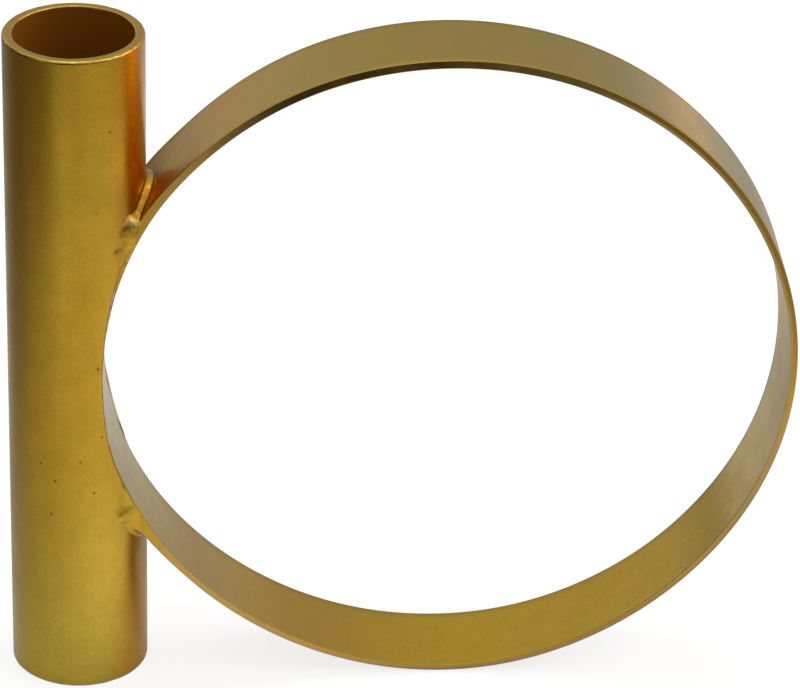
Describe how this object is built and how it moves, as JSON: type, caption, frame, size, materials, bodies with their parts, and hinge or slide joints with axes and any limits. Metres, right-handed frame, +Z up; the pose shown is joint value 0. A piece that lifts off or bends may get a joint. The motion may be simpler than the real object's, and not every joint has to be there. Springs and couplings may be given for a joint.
{
  "type": "taper candle holder",
  "caption": "Gold painted steel taper candle holder: an upright round tube with a large flat-bar hoop let into its side and welded there as a carrying loop.",
  "frame": {"origin": "centre of the footprint's bounding box, on the table plane", "axes": "+Z up along the tube; +X from the tube towards the hoop; +Y away from the viewer, along the hoop's axis"},
  "size_m": [0.1532, 0.027, 0.1375],
  "materials": {
    "tube_paint": "satin metallic gold paint, fine orange peel",
    "hoop_paint": "satin metallic gold paint over rolled flat bar",
    "weld_paint": "satin metallic gold paint over weld metal, slightly lumpy"
  },
  "bodies": {
    "root": {"candle_tube": "tube_paint", "hoop_strap": "hoop_paint", "hoop_closing_weld": "weld_paint", "upper_joint_weld": "weld_paint", "lower_joint_weld": "weld_paint", "upper_front_tack": "weld_paint", "upper_rear_tack": "weld_paint", "lower_front_tack": "weld_paint", "lower_rear_tack": "weld_paint", "front_notch_weld": "weld_paint", "rear_notch_weld": "weld_paint"}
  },
  "joints": []
}
